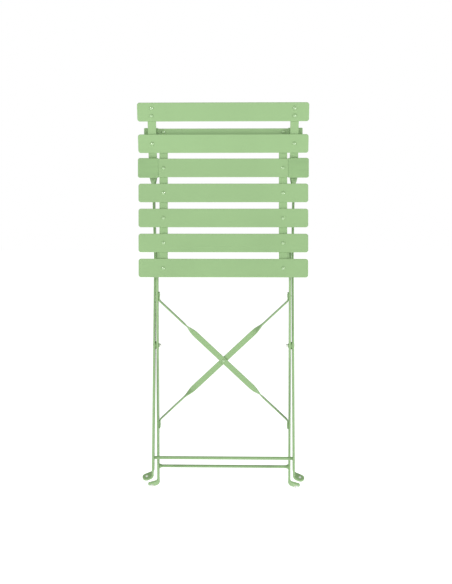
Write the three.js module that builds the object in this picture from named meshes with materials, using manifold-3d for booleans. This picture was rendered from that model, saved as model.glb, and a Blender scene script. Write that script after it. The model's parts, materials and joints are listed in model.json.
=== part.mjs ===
// A folding bistro chair of powder-coated flat steel bar, standing folded.
// X is the chair's width, the sitter's side faces -Y and Z is up. Millimetres.
import * as THREE from "three";
import { mergeVertices } from "three/addons/utils/BufferGeometryUtils.js";
import Module from "manifold-3d";

const wasm = await Module();
wasm.setup();

// Flat bar, slats and clearances
const BAR_WIDTH = 20;
const BAR_THICKNESS = 5;
const SLAT_LENGTH = 410;
const SLAT_WIDTH = 45;
const SLAT_THICKNESS = 3;
const SLAT_CORNER = 6;
const SLAT_BEVEL = 0.6;
const GAP = 0.3;
const DRILL_LENGTH = 20;
const LEG_DRILL_LENGTH = 10;

// Side to side: centre planes of the three nested frames
const BACK_X = 171;
const REAR_X = 163;
const RAIL_X = 144.5;

// Lean of each frame from the vertical, degrees, folded and open
const BACK_LEAN_FOLDED = 5.7;
const REAR_LEAN_FOLDED = 2.9;
const BACK_LEAN_OPEN = 31;
const REAR_LEAN_OPEN = 39.6;
const BACK_BEND = 19.2;

// Distances along the legs, measured from the scissor pivot
const PIVOT_HEIGHT = 359.6;
const BACK_LEG = 305.7;
const REAR_LEG = 339;
const BEND_UP = 222.5;
const SEAT_PIVOT_UP = 233.2;
const BACK_STRETCHER_DOWN = 271.5;
const REAR_STRETCHER_DOWN = 304.5;
const FRONT_STRETCHER_RADIUS = 3.75;
const REAR_STRETCHER_RADIUS = 3.5;
const WELD_RADIUS = 6.5;
const WELD_LENGTH = 8;

// Back rest, measured along the bar from its bend
const BEND_REACH = 30;
const BEND_MARGIN = 2;
const TWIST_FROM = 160;
const TWIST_TO = 219;
const LOWER_SLAT_UP = 281.3;
const UPPER_SLAT_UP = 357.3;
const UPPER_RIVET_OFFSET = 9;
const BACK_BAR_END = 373;

// Foot tab: the bar's end folded outwards, flat on the floor when open
const FOLD_RADIUS = 6;
const FRONT_TAB = 31.5;
const FRONT_FOLD_BEFORE = 18;
const FRONT_FOLD_AFTER = 8;
const REAR_TAB = 37;
const REAR_FOLD_BEFORE = 21;
const REAR_FOLD_AFTER = 10;
const GLIDE_FROM_END = 10.5;
const GLIDE_RADIUS = 5;
const GLIDE_HEIGHT = 5.5;
const GLIDE_FLAT = 0.3;
const GLIDE_PIN_RADIUS = 2.2;
const GLIDE_BUTTON_FLARE = 0.9;
const GLIDE_BUTTON_HEIGHT = 1.2;

// Brace
const STRAP_WIDTH = 14;
const STRAP_THICKNESS = 3;
const STRAP_TOP_UP = 132;
const STRAP_BOTTOM_DOWN = 207.5;
const STRAP_TAB = 20.5;
const STRAP_CORNER = 5;
const STRAP_BEND_REACH = 7;
const STRAP_RIVET_INSET = 2;
const STRAP_TWIST_FROM = 86;
const STRAP_TWIST_TO = 136;
const STRAP_BOW_FROM = 60;
const STRAP_BOW_TO = 190;

// Seat, measured along it from the seat pivot towards the back
const SEAT_PLANE_Y = -40;
const SLAT_PITCH = 60.5;
const FRONT_SLAT = -39;
const SEAT_SLATS = 5;
const REAR_BAR_AT = 289.5;
const REAR_BAR_LENGTH = 380;
const REAR_BAR_WIDTH = 17;
const REAR_BAR_CORNER = 2.5;
const LUG_RADIUS = 13;
const LUG_THICKNESS = 5.5;
const LUG_TOP = 34;
const LUG_BOTTOM = -24;
const LUG_WELD = 0.5;
const LUG_WRAP = 0.62;
const RAIL_CORNER = 5;
const RAIL_OVERHANG = 15;
const RAIL_SHORTFALL = 1;
const SLEEVE_WALL = 1;
const SLEEVE_INNER_X = 157;
const SLEEVE_OVERRUN = 10;
const SLAT_SLEEVE_CORNER = 5;
const BAR_SLEEVE_CORNER = 2;

// Rivets
const RIVET_RADIUS = 2;
const RIVET_HEAD_RADIUS = 4.5;
const RIVET_HEAD_HEIGHT = 2.8;
const LOW_HEAD_HEIGHT = 1.2;
const SCISSOR_RADIUS = 4;
const SCISSOR_HEAD_RADIUS = 6.5;
const SCISSOR_HEAD_HEIGHT = 1.8;
const SCISSOR_WASHER_RADIUS = 5;
const SCISSOR_WASHER = 1.8;
const SCISSOR_TAIL_RADIUS = 3.4;
const SCISSOR_TAIL = 6.4;
const SPACER_RADIUS = 9;
const SEAT_PIN_RADIUS = 3.5;
const SEAT_PIN_HEAD_RADIUS = 5.5;
const SEAT_PIN_HEAD_HEIGHT = 2;

const SIDES = [["left", -1], ["right", 1]];
const rad = THREE.MathUtils.degToRad;
const X_AXIS = new THREE.Vector3(1, 0, 0);
const Y_AXIS = new THREE.Vector3(0, 1, 0);

// Looks
const GREEN = new THREE.Color().setRGB(0.64, 0.77, 0.56, THREE.SRGBColorSpace);
const SLEEVE_GREEN = new THREE.Color().setRGB(0.6, 0.75, 0.53, THREE.SRGBColorSpace);
const WHITE = new THREE.Color().setRGB(0.92, 0.94, 0.9, THREE.SRGBColorSpace);
const STEEL = new THREE.Color().setRGB(0.72, 0.72, 0.7, THREE.SRGBColorSpace);
const paint = () => look(GREEN, 0.42);
const sleevePlastic = () => look(SLEEVE_GREEN, 0.5);
const glidePlastic = () => look(WHITE, 0.35);
const steel = () => look(STEEL, 0.35, 1);

function look(color, roughness, metalness = 0) {
  return new THREE.MeshStandardMaterial({ color, roughness, metalness });
}

// ---- Solids -------------------------------------------------------------

function toSolid(geometry) {
  const plain = geometry.clone();
  plain.deleteAttribute("normal");
  plain.deleteAttribute("uv");
  const merged = mergeVertices(plain, 1e-4);
  const vertProperties = new Float32Array(merged.attributes.position.array);
  const triVerts = new Uint32Array(merged.index.array);
  return new wasm.Manifold(new wasm.Mesh({ numProp: 3, vertProperties, triVerts }));
}

function toGeometry(solid) {
  const mesh = solid.getMesh();
  const geometry = new THREE.BufferGeometry();
  geometry.setAttribute("position", new THREE.BufferAttribute(mesh.vertProperties, 3));
  geometry.setIndex(new THREE.BufferAttribute(mesh.triVerts, 1));
  geometry.computeVertexNormals();
  return geometry;
}

function cut(geometry, tools) {
  let solid = toSolid(geometry);
  for (const tool of tools) solid = solid.subtract(toSolid(tool));
  return toGeometry(solid);
}

// A drill of the given radius and length, centred on a point and lying along a direction
function drill(point, direction, radius, length) {
  const tool = new THREE.CylinderGeometry(radius, radius, length, 10);
  const turn = new THREE.Quaternion().setFromUnitVectors(Y_AXIS, direction.clone().normalize());
  tool.applyQuaternion(turn);
  return tool.translate(point.x, point.y, point.z);
}

function roundedRectangle(width, height, radius) {
  const x = width / 2;
  const y = height / 2;
  const shape = new THREE.Shape();
  shape.absarc(x - radius, y - radius, radius, 0, Math.PI / 2);
  shape.absarc(-x + radius, y - radius, radius, Math.PI / 2, Math.PI);
  shape.absarc(-x + radius, -y + radius, radius, Math.PI, 1.5 * Math.PI);
  shape.absarc(x - radius, -y + radius, radius, 1.5 * Math.PI, 2 * Math.PI);
  shape.closePath();
  return shape;
}

function rectangle(width, height) {
  const x = width / 2;
  const y = height / 2;
  const corners = [[x, -y], [x, y], [-x, y], [-x, -y]];
  return new THREE.Shape(corners.map(([a, b]) => new THREE.Vector2(a, b)));
}

// A round hole in a shape, as four arcs
function roundHole(x, y, radius) {
  const hole = new THREE.Path();
  for (let quarter = 4; quarter > 0; quarter -= 1) {
    hole.absarc(x, y, radius, (quarter * Math.PI) / 2, ((quarter - 1) * Math.PI) / 2, true);
  }
  return hole;
}

// A flat bar swept along a planar path. Its width starts square to the path inside the path's
// plane, and twistAt turns it towards the plane's normal. Stations are distances along the path.
function formedBar({ path, normal, width, thickness, stations, twistAt, widthAt }) {
  const section = rectangle(width, thickness);
  const steps = stations.length - 1;
  const geometry = new THREE.ExtrudeGeometry(section, { depth: 1, steps, bevelEnabled: false });
  const places = stations.map((s) => {
    const along = path.getTangentAt(s / path.getLength());
    const across = new THREE.Vector3().crossVectors(normal, along).applyAxisAngle(along, twistAt(s));
    const through = new THREE.Vector3().crossVectors(along, across);
    return { at: path.getPointAt(s / path.getLength()), across, through, scale: widthAt(s) / width };
  });
  const position = geometry.attributes.position;
  for (let i = 0; i < position.count; i += 1) {
    const place = places[Math.round(position.getZ(i) * steps)];
    const point = place.at.clone();
    point.addScaledVector(place.across, position.getX(i) * place.scale);
    point.addScaledVector(place.through, position.getY(i));
    position.setXYZ(i, point.x, point.y, point.z);
  }
  return geometry;
}

// Distances from a bar's tip that draw its round end
const ROUND_END_STATIONS = [0.3, 1.5, 4, 7, BAR_WIDTH / 2];

function spaced(from, to, count) {
  return Array.from({ length: count }, (_, i) => from + ((to - from) * i) / count);
}

// Width of a round-ended bar at a distance from its tip
function roundEndWidth(s, width) {
  const radius = width / 2;
  const inward = Math.min(s, radius);
  return 2 * Math.sqrt(radius * radius - (radius - inward) ** 2);
}

function smoothTwist(s, from, to) {
  return (Math.PI / 2) * THREE.MathUtils.smoothstep(s, from, to);
}

// ---- Folded foot --------------------------------------------------------

// The fold line lies across a vertical bar, level with the floor once the chair is open. Metal
// below the line turns 90 degrees outwards about it. lean is the leg's open lean, positive when
// the foot is in front of the leg.
function foldFrame(x, side, lean, down) {
  const line = new THREE.Vector3(0, Math.cos(lean), Math.sin(lean));
  const below = new THREE.Vector3(0, Math.sin(lean), -Math.cos(lean));
  const out = new THREE.Vector3(side, 0, 0);
  return { at: new THREE.Vector3(side * x, 0, -down), line, below, out };
}

function foldPoint(point, fold) {
  const local = point.clone().sub(fold.at);
  const low = local.dot(fold.below);
  if (low <= 0) return point.clone();
  const along = local.dot(fold.line);
  const lift = local.dot(fold.out);
  const quarter = (Math.PI / 2) * FOLD_RADIUS;
  const angle = Math.min(low / FOLD_RADIUS, Math.PI / 2);
  const rest = Math.max(low - quarter, 0);
  const radius = FOLD_RADIUS - lift;
  const down = radius * Math.sin(angle);
  const out = FOLD_RADIUS - radius * Math.cos(angle) + rest;
  return fold.at.clone()
    .addScaledVector(fold.line, along)
    .addScaledVector(fold.below, down)
    .addScaledVector(fold.out, out);
}

function foldFoot(geometry, fold) {
  const position = geometry.attributes.position;
  for (let i = 0; i < position.count; i += 1) {
    const point = foldPoint(new THREE.Vector3().fromBufferAttribute(position, i), fold);
    position.setXYZ(i, point.x, point.y, point.z);
  }
}

function glidePlace(fold, tip) {
  const flat = new THREE.Vector3(fold.at.x, 0, fold.at.z - (tip - GLIDE_FROM_END));
  return foldPoint(flat, fold);
}

// ---- Fasteners and small parts -------------------------------------------

function lathe(points, segments) {
  return new THREE.LatheGeometry(points.map(([r, y]) => new THREE.Vector2(r, y)), segments);
}

// Rivet along +Y: a domed head below y = 0, a shank through the grip and a low formed head
function rivetGeometry(radius, headRadius, headHeight, grip) {
  const bottom = -GAP;
  const top = grip + GAP;
  return lathe([
    [0, bottom - headHeight],
    [headRadius * 0.6, bottom - headHeight * 0.78],
    [headRadius, bottom],
    [radius, bottom],
    [radius, top],
    [headRadius * 0.85, top],
    [0, top + headHeight * 0.7],
  ], 8);
}

function ringGeometry(inner, outer, height) {
  return lathe([[inner, 0], [outer, 0], [outer, height], [inner, height], [inner, 0]], 12);
}

// Glide along -Y: a dome with a flat spot under the tab, a pin through it and a small button on top
function glideGeometry() {
  const half = BAR_THICKNESS / 2 + GAP;
  return lathe([
    [0, -half - GLIDE_HEIGHT],
    [GLIDE_RADIUS * GLIDE_FLAT, -half - GLIDE_HEIGHT],
    [GLIDE_RADIUS * 0.62, -half - GLIDE_HEIGHT * 0.85],
    [GLIDE_RADIUS * 0.88, -half - GLIDE_HEIGHT * 0.5],
    [GLIDE_RADIUS, -half],
    [GLIDE_PIN_RADIUS, -half],
    [GLIDE_PIN_RADIUS, half],
    [GLIDE_PIN_RADIUS + GLIDE_BUTTON_FLARE, half],
    [0, half + GLIDE_BUTTON_HEIGHT],
  ], 10);
}

function node(name, geometry, material) {
  const mesh = new THREE.Mesh(geometry, material);
  mesh.name = name;
  return mesh;
}

// Places a mesh at a point with its own +Y turned to a direction
function aim(mesh, point, direction) {
  mesh.position.copy(point);
  mesh.quaternion.setFromUnitVectors(Y_AXIS, direction.clone().normalize());
  return mesh;
}

// ---- Slats ----------------------------------------------------------------

// A slat lying in X and Z, its rear face at y = 0, with one hole per rivet
function slatGeometry(length, width, corner, holes) {
  const bevel = SLAT_BEVEL;
  const shape = roundedRectangle(length - 2 * bevel, width - 2 * bevel, corner - bevel);
  for (const [x, z] of holes) shape.holes.push(roundHole(x, z, RIVET_RADIUS + GAP + bevel));
  const geometry = new THREE.ExtrudeGeometry(shape, {
    depth: SLAT_THICKNESS - 2 * bevel,
    bevelThickness: bevel,
    bevelSize: bevel,
    bevelSegments: 1,
    curveSegments: 1,
  });
  geometry.rotateX(Math.PI / 2);
  return geometry.translate(0, -bevel, 0);
}

// ---- Back frame -------------------------------------------------------------

function backBarPath() {
  const bend = rad(BACK_BEND);
  const start = new THREE.Vector3(0, 0, -BACK_LEG - FRONT_TAB);
  const corner = new THREE.Vector3(0, 0, BEND_UP);
  const up = new THREE.Vector3(0, -Math.sin(bend), Math.cos(bend));
  const before = corner.clone().addScaledVector(new THREE.Vector3(0, 0, 1), -BEND_REACH);
  const after = corner.clone().addScaledVector(up, BEND_REACH);
  const path = new THREE.CurvePath();
  path.add(new THREE.LineCurve3(start, before));
  path.add(new THREE.QuadraticBezierCurve3(before, corner, after));
  path.add(new THREE.LineCurve3(after, corner.clone().addScaledVector(up, BACK_BAR_END)));
  return path;
}

function backBar(side) {
  const path = backBarPath();
  const tipToBend = BACK_LEG + FRONT_TAB + BEND_UP;
  const bendReach = BEND_REACH + BEND_MARGIN;
  const from = tipToBend + TWIST_FROM;
  const to = tipToBend + TWIST_TO;
  const stations = [
    ...ROUND_END_STATIONS,
    ...spaced(FRONT_TAB - FRONT_FOLD_BEFORE, FRONT_TAB + FRONT_FOLD_AFTER, 13),
    FRONT_TAB + FRONT_FOLD_AFTER,
    ...spaced(tipToBend - bendReach, tipToBend + bendReach, 6),
    tipToBend + bendReach,
    ...spaced(from, to, 10),
    to,
    path.getLength(),
  ];
  const geometry = formedBar({
    path,
    normal: X_AXIS,
    width: BAR_WIDTH,
    thickness: BAR_THICKNESS,
    stations,
    twistAt: (s) => -side * smoothTwist(s, from, to),
    widthAt: (s) => roundEndWidth(s, BAR_WIDTH),
  });
  geometry.translate(side * BACK_X, 0, 0);
  const fold = foldFrame(BACK_X, side, rad(BACK_LEAN_OPEN), BACK_LEG);
  foldFoot(geometry, fold);
  const holes = [
    drill(new THREE.Vector3(side * BACK_X, 0, 0), X_AXIS, SCISSOR_RADIUS + GAP, DRILL_LENGTH),
    drill(glidePlace(fold, FRONT_TAB), fold.below, GLIDE_PIN_RADIUS + GAP, DRILL_LENGTH),
    ...backRivetPlaces(side).map(({ at, through }) => (
      drill(at, through, RIVET_RADIUS + GAP, DRILL_LENGTH)
    )),
  ];
  return cut(geometry, holes);
}

// The back rest's own frame: its origin at the bend, its Z up along the bar
function backRestFrame() {
  const turn = new THREE.Quaternion().setFromAxisAngle(X_AXIS, rad(BACK_BEND));
  return new THREE.Matrix4().compose(new THREE.Vector3(0, 0, BEND_UP), turn, new THREE.Vector3(1, 1, 1));
}

function backRivetPlaces(side) {
  const frame = backRestFrame();
  const through = new THREE.Vector3(0, 1, 0).transformDirection(frame);
  const heights = [
    UPPER_SLAT_UP + UPPER_RIVET_OFFSET,
    UPPER_SLAT_UP - UPPER_RIVET_OFFSET,
    LOWER_SLAT_UP,
  ];
  return heights.map((height) => ({
    at: new THREE.Vector3(side * BACK_X, 0, height).applyMatrix4(frame),
    through,
  }));
}

function backSlats() {
  const frame = backRestFrame();
  const upperHoles = SIDES.flatMap(([, side]) => [
    [side * BACK_X, UPPER_RIVET_OFFSET],
    [side * BACK_X, -UPPER_RIVET_OFFSET],
  ]);
  const lowerHoles = SIDES.map(([, side]) => [side * BACK_X, 0]);
  const slats = [["upper", UPPER_SLAT_UP, upperHoles], ["lower", LOWER_SLAT_UP, lowerHoles]];
  return slats.map(([name, height, holes]) => {
    const geometry = slatGeometry(SLAT_LENGTH, SLAT_WIDTH, SLAT_CORNER, holes);
    const mesh = node(`back_slat_${name}`, geometry, paint());
    mesh.position.set(0, -BAR_THICKNESS / 2 - GAP, height).applyMatrix4(frame);
    mesh.quaternion.setFromRotationMatrix(frame);
    return mesh;
  });
}

function backRivets() {
  const names = ["top", "mid", "low"];
  const grip = BAR_THICKNESS + GAP + SLAT_THICKNESS;
  const start = BAR_THICKNESS / 2 + GAP + SLAT_THICKNESS;
  return SIDES.flatMap(([label, side]) => backRivetPlaces(side).map(({ at, through }, i) => {
    const geometry = rivetGeometry(RIVET_RADIUS, RIVET_HEAD_RADIUS, RIVET_HEAD_HEIGHT, grip);
    const mesh = node(`back_rivet_${label}_${names[i]}`, geometry, paint());
    return aim(mesh, at.clone().addScaledVector(through, -start), through);
  }));
}

function backStretcher() {
  const length = 2 * (BACK_X - BAR_THICKNESS / 2 - GAP);
  const geometry = new THREE.CylinderGeometry(FRONT_STRETCHER_RADIUS, FRONT_STRETCHER_RADIUS, length, 12);
  const mesh = node("front_stretcher", geometry, paint());
  return aim(mesh, new THREE.Vector3(0, 0, -BACK_STRETCHER_DOWN), X_AXIS);
}

function glides({ prefix, x, lean, legLength, tab }) {
  return SIDES.map(([label, side]) => {
    const fold = foldFrame(x, side, rad(lean), legLength);
    const mesh = node(`${prefix}_glide_${label}`, glideGeometry(), glidePlastic());
    return aim(mesh, glidePlace(fold, tab), fold.below.clone().negate());
  });
}

// Shouldered pin along +Y: a low head, a shank through the grip, a washer and a bare tail
function scissorPin(grip) {
  const top = grip + GAP;
  return lathe([
    [0, -GAP - SCISSOR_HEAD_HEIGHT],
    [SCISSOR_HEAD_RADIUS * 0.7, -GAP - SCISSOR_HEAD_HEIGHT * 0.8],
    [SCISSOR_HEAD_RADIUS, -GAP],
    [SCISSOR_RADIUS, -GAP],
    [SCISSOR_RADIUS, top],
    [SCISSOR_WASHER_RADIUS, top],
    [SCISSOR_WASHER_RADIUS, top + SCISSOR_WASHER],
    [SCISSOR_TAIL_RADIUS, top + SCISSOR_WASHER],
    [SCISSOR_TAIL_RADIUS, top + SCISSOR_TAIL - 1],
    [SCISSOR_TAIL_RADIUS - 1, top + SCISSOR_TAIL],
    [0, top + SCISSOR_TAIL],
  ], 10);
}

// Pins from outside the back bars through the rear legs, with a spacer between the two
function scissorPivots() {
  const outer = BACK_X + BAR_THICKNESS / 2;
  const inner = REAR_X - BAR_THICKNESS / 2;
  const spacerX = BACK_X - BAR_THICKNESS / 2 - GAP;
  const spacerLength = BACK_X - REAR_X - BAR_THICKNESS - 2 * GAP;
  return SIDES.flatMap(([label, side]) => {
    const inwards = new THREE.Vector3(-side, 0, 0);
    const pin = node(`scissor_rivet_${label}`, scissorPin(outer - inner), steel());
    const ring = ringGeometry(SCISSOR_RADIUS + GAP, SPACER_RADIUS, spacerLength);
    const spacer = node(`scissor_spacer_${label}`, ring, paint());
    return [
      aim(pin, new THREE.Vector3(side * outer, 0, 0), inwards),
      aim(spacer, new THREE.Vector3(side * spacerX, 0, 0), inwards),
    ];
  });
}

function backFrame() {
  const frame = new THREE.Group();
  frame.position.z = PIVOT_HEIGHT;
  frame.rotation.x = -rad(BACK_LEAN_FOLDED);
  for (const [label, side] of SIDES) frame.add(node(`back_bar_${label}`, backBar(side), paint()));
  frame.add(...backSlats(), ...backRivets(), backStretcher());
  const foot = { prefix: "front", x: BACK_X, lean: BACK_LEAN_OPEN, legLength: BACK_LEG, tab: FRONT_TAB };
  frame.add(...glides(foot), ...scissorPivots());
  return frame;
}

// ---- Rear legs ----------------------------------------------------------------

function rearLeg(side) {
  const top = SEAT_PIVOT_UP + BAR_WIDTH / 2;
  const length = REAR_LEG + REAR_TAB + top;
  const path = new THREE.LineCurve3(
    new THREE.Vector3(0, 0, -REAR_LEG - REAR_TAB),
    new THREE.Vector3(0, 0, top),
  );
  const stations = [
    ...ROUND_END_STATIONS,
    ...spaced(REAR_TAB - REAR_FOLD_BEFORE, REAR_TAB + REAR_FOLD_AFTER, 14),
    REAR_TAB + REAR_FOLD_AFTER,
    ...ROUND_END_STATIONS.map((s) => length - s).reverse(),
  ];
  const geometry = formedBar({
    path,
    normal: X_AXIS,
    width: BAR_WIDTH,
    thickness: BAR_THICKNESS,
    stations,
    twistAt: () => 0,
    widthAt: (s) => roundEndWidth(Math.min(s, length - s), BAR_WIDTH),
  });
  geometry.translate(side * REAR_X, 0, 0);
  const fold = foldFrame(REAR_X, side, rad(-REAR_LEAN_OPEN), REAR_LEG);
  foldFoot(geometry, fold);
  const seatPin = new THREE.Vector3(side * REAR_X, 0, SEAT_PIVOT_UP);
  const holes = [
    drill(new THREE.Vector3(side * REAR_X, 0, 0), X_AXIS, SCISSOR_RADIUS + GAP, LEG_DRILL_LENGTH),
    drill(seatPin, X_AXIS, SEAT_PIN_RADIUS + GAP, LEG_DRILL_LENGTH),
    drill(glidePlace(fold, REAR_TAB), fold.below, GLIDE_PIN_RADIUS + GAP, DRILL_LENGTH),
    ...strapRivetHeights().map((z) => (
      drill(new THREE.Vector3(side * REAR_X, 0, z), X_AXIS, RIVET_RADIUS + GAP, LEG_DRILL_LENGTH)
    )),
  ];
  return cut(geometry, holes);
}

function strapRivetHeights() {
  const inset = STRAP_TAB / 2 - STRAP_RIVET_INSET;
  return [STRAP_TOP_UP - inset, inset - STRAP_BOTTOM_DOWN];
}

// Straight runs between four corners, the middle two rounded
function strapPath(corners) {
  const diagonal = corners[2].clone().sub(corners[1]).normalize();
  const up = new THREE.Vector3(0, 0, 1);
  const a = corners[1].clone().addScaledVector(up, -STRAP_CORNER);
  const b = corners[1].clone().addScaledVector(diagonal, STRAP_CORNER);
  const c = corners[2].clone().addScaledVector(diagonal, -STRAP_CORNER);
  const d = corners[2].clone().addScaledVector(up, STRAP_CORNER);
  const path = new THREE.CurvePath();
  path.add(new THREE.LineCurve3(corners[0], a));
  path.add(new THREE.QuadraticBezierCurve3(a, corners[1], b));
  path.add(new THREE.LineCurve3(b, c));
  path.add(new THREE.QuadraticBezierCurve3(c, corners[2], d));
  path.add(new THREE.LineCurve3(d, corners[3]));
  return path;
}

// A strap from the top of one leg to the bottom of the other; rise is +1 when it climbs to +X.
// It lies against both legs, edge on to the sitter, and twists to lie flat where the two cross.
function braceStrap(rise, layer) {
  const x = REAR_X - BAR_THICKNESS / 2 - GAP - STRAP_THICKNESS / 2;
  const topBend = STRAP_TOP_UP - STRAP_TAB;
  const lowBend = -STRAP_BOTTOM_DOWN + STRAP_TAB;
  const corners = [
    new THREE.Vector3(-rise * x, 0, -STRAP_BOTTOM_DOWN),
    new THREE.Vector3(-rise * x, 0, lowBend),
    new THREE.Vector3(rise * x, 0, topBend),
    new THREE.Vector3(rise * x, 0, STRAP_TOP_UP),
  ];
  const path = strapPath(corners);
  const length = path.getLength();
  const middle = length / 2;
  const farBend = length - STRAP_TAB;
  const stations = [
    0,
    ...spaced(STRAP_TAB - STRAP_BEND_REACH, STRAP_TAB + STRAP_BEND_REACH, 4),
    STRAP_TAB + STRAP_BEND_REACH,
    ...spaced(middle - STRAP_TWIST_TO, middle - STRAP_TWIST_FROM, 8),
    middle - STRAP_TWIST_FROM,
    middle,
    ...spaced(middle + STRAP_TWIST_FROM, middle + STRAP_TWIST_TO, 8),
    middle + STRAP_TWIST_TO,
    ...spaced(farBend - STRAP_BEND_REACH, farBend + STRAP_BEND_REACH, 4),
    farBend + STRAP_BEND_REACH,
    length,
  ];
  const geometry = formedBar({
    path,
    normal: Y_AXIS,
    width: STRAP_WIDTH,
    thickness: STRAP_THICKNESS,
    stations,
    twistAt: (s) => -smoothTwist(Math.abs(s - middle), STRAP_TWIST_FROM, STRAP_TWIST_TO),
    widthAt: () => STRAP_WIDTH,
  });
  return setOffCrossing(geometry, layer * (STRAP_THICKNESS + GAP) / 2);
}

// Both straps bow a little out of their plane, so that one passes in front of the other
function setOffCrossing(geometry, offset) {
  const position = geometry.attributes.position;
  const centre = (STRAP_TOP_UP - STRAP_BOTTOM_DOWN) / 2;
  for (let i = 0; i < position.count; i += 1) {
    const away = Math.hypot(position.getX(i), position.getZ(i) - centre);
    const share = 1 - THREE.MathUtils.smoothstep(away, STRAP_BOW_FROM, STRAP_BOW_TO);
    position.setY(i, position.getY(i) + offset * share);
  }
  return geometry;
}

function braces() {
  const x = REAR_X - BAR_THICKNESS / 2;
  const centre = new THREE.Vector3(0, 0, (STRAP_TOP_UP - STRAP_BOTTOM_DOWN) / 2);
  const [topHole, lowHole] = strapRivetHeights();
  const meshes = [];
  for (const [label, rise] of SIDES) {
    const tools = [
      drill(centre, Y_AXIS, RIVET_RADIUS + GAP, DRILL_LENGTH),
      drill(new THREE.Vector3(rise * x, 0, topHole), X_AXIS, RIVET_RADIUS + GAP, DRILL_LENGTH),
      drill(new THREE.Vector3(-rise * x, 0, lowHole), X_AXIS, RIVET_RADIUS + GAP, DRILL_LENGTH),
    ];
    const strap = cut(braceStrap(rise, rise), tools);
    meshes.push(node(`brace_strap_${label}`, strap, paint()));
  }
  const layers = 2 * STRAP_THICKNESS + GAP;
  const cross = rivetGeometry(RIVET_RADIUS, RIVET_HEAD_RADIUS, RIVET_HEAD_HEIGHT, layers);
  const front = centre.clone().add(new THREE.Vector3(0, -layers / 2, 0));
  meshes.push(aim(node("brace_rivet_centre", cross, paint()), front, Y_AXIS));
  return [...meshes, ...braceEndRivets()];
}

function braceEndRivets() {
  const inner = REAR_X - BAR_THICKNESS / 2 - GAP - STRAP_THICKNESS;
  const grip = BAR_THICKNESS + GAP + STRAP_THICKNESS;
  return SIDES.flatMap(([label, side]) => strapRivetHeights().map((z, i) => {
    const geometry = rivetGeometry(RIVET_RADIUS, RIVET_HEAD_RADIUS, LOW_HEAD_HEIGHT, grip);
    const mesh = node(`brace_rivet_${label}_${["top", "low"][i]}`, geometry, paint());
    return aim(mesh, new THREE.Vector3(side * inner, 0, z), new THREE.Vector3(side, 0, 0));
  }));
}

// Round bar flaring into a weld at each end
function rearStretcher() {
  const half = REAR_X - BAR_THICKNESS / 2 - GAP;
  const waist = (REAR_STRETCHER_RADIUS * 2 + WELD_RADIUS) / 3;
  const end = [
    [0, -half],
    [WELD_RADIUS, -half],
    [waist, -half + WELD_LENGTH * 0.4],
    [REAR_STRETCHER_RADIUS, -half + WELD_LENGTH],
  ];
  const farEnd = end.map(([r, y]) => [r, -y]).reverse();
  const mesh = node("rear_stretcher", lathe([...end, ...farEnd], 12), paint());
  return aim(mesh, new THREE.Vector3(0, 0, -REAR_STRETCHER_DOWN), X_AXIS);
}

// The seat's pins, each through a rear leg's top end and the seat's lug inside it
function seatPivots() {
  const outer = REAR_X + BAR_THICKNESS / 2;
  const grip = outer - (lugOuterX() - LUG_THICKNESS - LUG_WELD);
  return SIDES.map(([label, side]) => {
    const pin = rivetGeometry(SEAT_PIN_RADIUS, SEAT_PIN_HEAD_RADIUS, SEAT_PIN_HEAD_HEIGHT, grip);
    const mesh = node(`seat_pin_${label}`, pin, paint());
    return aim(mesh, new THREE.Vector3(side * outer, 0, SEAT_PIVOT_UP), new THREE.Vector3(-side, 0, 0));
  });
}

function rearFrame() {
  const frame = new THREE.Group();
  frame.position.z = PIVOT_HEIGHT;
  frame.rotation.x = rad(REAR_LEAN_FOLDED);
  for (const [label, side] of SIDES) frame.add(node(`rear_leg_${label}`, rearLeg(side), paint()));
  frame.add(...braces(), rearStretcher(), ...seatPivots());
  const foot = { prefix: "rear", x: REAR_X, lean: -REAR_LEAN_OPEN, legLength: REAR_LEG, tab: REAR_TAB };
  frame.add(...glides(foot));
  return frame;
}

// ---- Seat ---------------------------------------------------------------------

function lugOuterX() {
  return RAIL_X + BAR_WIDTH / 2 + LUG_THICKNESS;
}

function seatPivot() {
  const lean = rad(REAR_LEAN_FOLDED);
  const up = new THREE.Vector3(0, -Math.sin(lean), Math.cos(lean));
  return new THREE.Vector3(0, 0, PIVOT_HEIGHT).addScaledVector(up, SEAT_PIVOT_UP);
}

// Rear face of the slats, measured from the seat pivot
function seatPlane() {
  return SEAT_PLANE_Y - seatPivot().y;
}

function slatPlaces() {
  return Array.from({ length: SEAT_SLATS }, (_, i) => FRONT_SLAT + i * SLAT_PITCH);
}

// A lug: a plate beside the rail, reaching back to the seat pin and rounded about it
function lugGeometry(side) {
  const face = seatPlane() + GAP;
  const shape = new THREE.Shape();
  shape.moveTo(face, LUG_TOP);
  shape.lineTo(face, LUG_BOTTOM);
  shape.lineTo(face + BAR_THICKNESS, LUG_BOTTOM);
  shape.absarc(0, 0, LUG_RADIUS, -Math.PI * LUG_WRAP, Math.PI * LUG_WRAP);
  shape.lineTo(face + BAR_THICKNESS, LUG_TOP);
  shape.closePath();
  shape.holes.push(roundHole(0, 0, SEAT_PIN_RADIUS + GAP));
  const geometry = new THREE.ExtrudeGeometry(shape, {
    depth: LUG_THICKNESS + LUG_WELD,
    bevelEnabled: false,
    curveSegments: 2,
  });
  geometry.rotateZ(Math.PI / 2);
  geometry.rotateY(Math.PI / 2);
  const from = side > 0 ? lugOuterX() - LUG_THICKNESS - LUG_WELD : -lugOuterX();
  return geometry.translate(from, 0, 0);
}

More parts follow.
